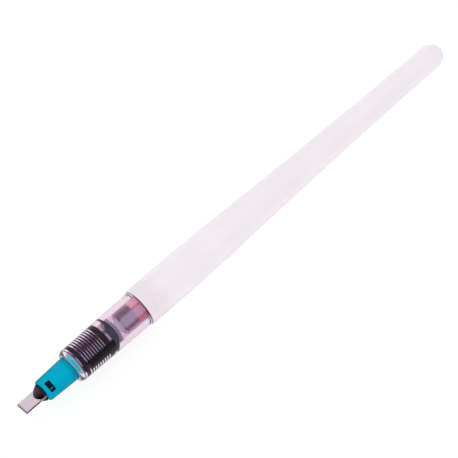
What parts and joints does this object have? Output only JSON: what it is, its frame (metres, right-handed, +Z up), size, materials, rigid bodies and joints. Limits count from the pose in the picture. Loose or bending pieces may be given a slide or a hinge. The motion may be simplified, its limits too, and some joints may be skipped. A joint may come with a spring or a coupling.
{
  "type": "calligraphy pen",
  "caption": "Uncapped cartridge pen with a flat parallel-plate nib, clear grip section with a finned ink collector, and a tapered barrel that unscrews.",
  "frame": {"origin": "under the middle of the pen's length, on the surface that the barrel's widest part rests on", "axes": "+X along the pen from the nib to the barrel's tail, +Z up and square to the nib's flat plates, +Y across the nib's width"},
  "size_m": [0.177, 0.0126, 0.0126],
  "materials": {
    "nib_steel": "fine satin",
    "feed_black": "moulded satin black with a brown tint",
    "collar_turquoise": "smooth satin turquoise",
    "section_clear": "clear polished plastic",
    "nipple_clear": "translucent plastic",
    "cartridge_grey": "smoky translucent plastic",
    "mouth_ring_brown": "moulded",
    "ink_red": "liquid",
    "seal_rubber": "matte",
    "barrel_ivory": "satin ivory white"
  },
  "bodies": {
    "section": {"section_shell": "section_clear", "cartridge_nipple": "nipple_clear"},
    "nib_unit": {"nib_plate_upper": "nib_steel", "nib_plate_lower": "nib_steel", "nib_clamp_upper": "feed_black", "nib_clamp_lower": "feed_black", "nib_collar": "collar_turquoise", "feed_stem": "feed_black", "ink_collector": "feed_black"},
    "cartridge": {"cartridge_tube": "cartridge_grey", "cartridge_mouth_ring": "mouth_ring_brown", "cartridge_seal_disc": "mouth_ring_brown", "ink_charge": "ink_red"},
    "seal_ring": {"barrel_seal_ring": "seal_rubber"},
    "barrel": {"barrel_shell": "barrel_ivory"}
  },
  "joints": [
    {"name": "barrel_unscrew_turn", "type": "hinge", "parent": "section", "child": "seal_ring", "pos_m": [-0.0415, 0, 0.0064], "axis": [1, 0, 0], "range_deg": [0, 1080]},
    {"name": "barrel_unscrew_travel", "type": "slide", "parent": "seal_ring", "child": "barrel", "axis": [1, 0, 0], "range_m": [0, 0.0045]},
    {"name": "nib_unit_pull_out", "type": "slide", "parent": "section", "child": "nib_unit", "axis": [-1, 0, 0], "range_m": [0, 0.021]},
    {"name": "cartridge_pull_off", "type": "slide", "parent": "section", "child": "cartridge", "axis": [1, 0, 0], "range_m": [0, 0.009]}
  ],
  "couplings": [
    {"joint": "barrel_unscrew_travel", "follows": "barrel_unscrew_turn", "m_per_rad": 0.00023873}
  ]
}
